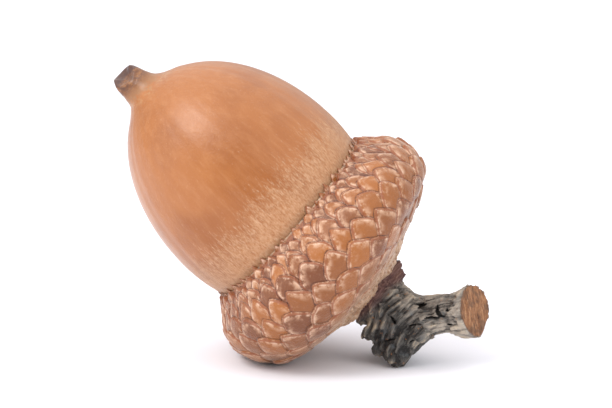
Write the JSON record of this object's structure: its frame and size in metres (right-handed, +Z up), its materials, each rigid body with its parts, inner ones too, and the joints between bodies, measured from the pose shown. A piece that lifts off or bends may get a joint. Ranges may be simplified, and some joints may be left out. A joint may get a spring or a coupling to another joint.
{
  "type": "acorn",
  "caption": "Ripe oak acorn lying on its side, its smooth nut held in a scaly cup on a gnarled stub of twig.",
  "frame": {"origin": "on the surface the acorn rests on, below the middle of its bounding box", "axes": "+Z up; +X along the acorn as it lies, from the nut's raised tip towards the cut end of the twig; the acorn's own axis lies in the XZ plane"},
  "size_m": [0.0366, 0.027, 0.0299],
  "materials": {
    "nutshell": "satin light orange-brown shell with faint lengthwise streaks and a paler downy band at the cup",
    "scales": "dull reddish-brown overlapping scales with pale downy edges",
    "bark": "rough dark grey bark with pale ridges and a torn orange-brown end"
  },
  "bodies": {
    "root": {"nut": "nutshell", "cap": "scales", "stem": "bark"}
  },
  "joints": []
}
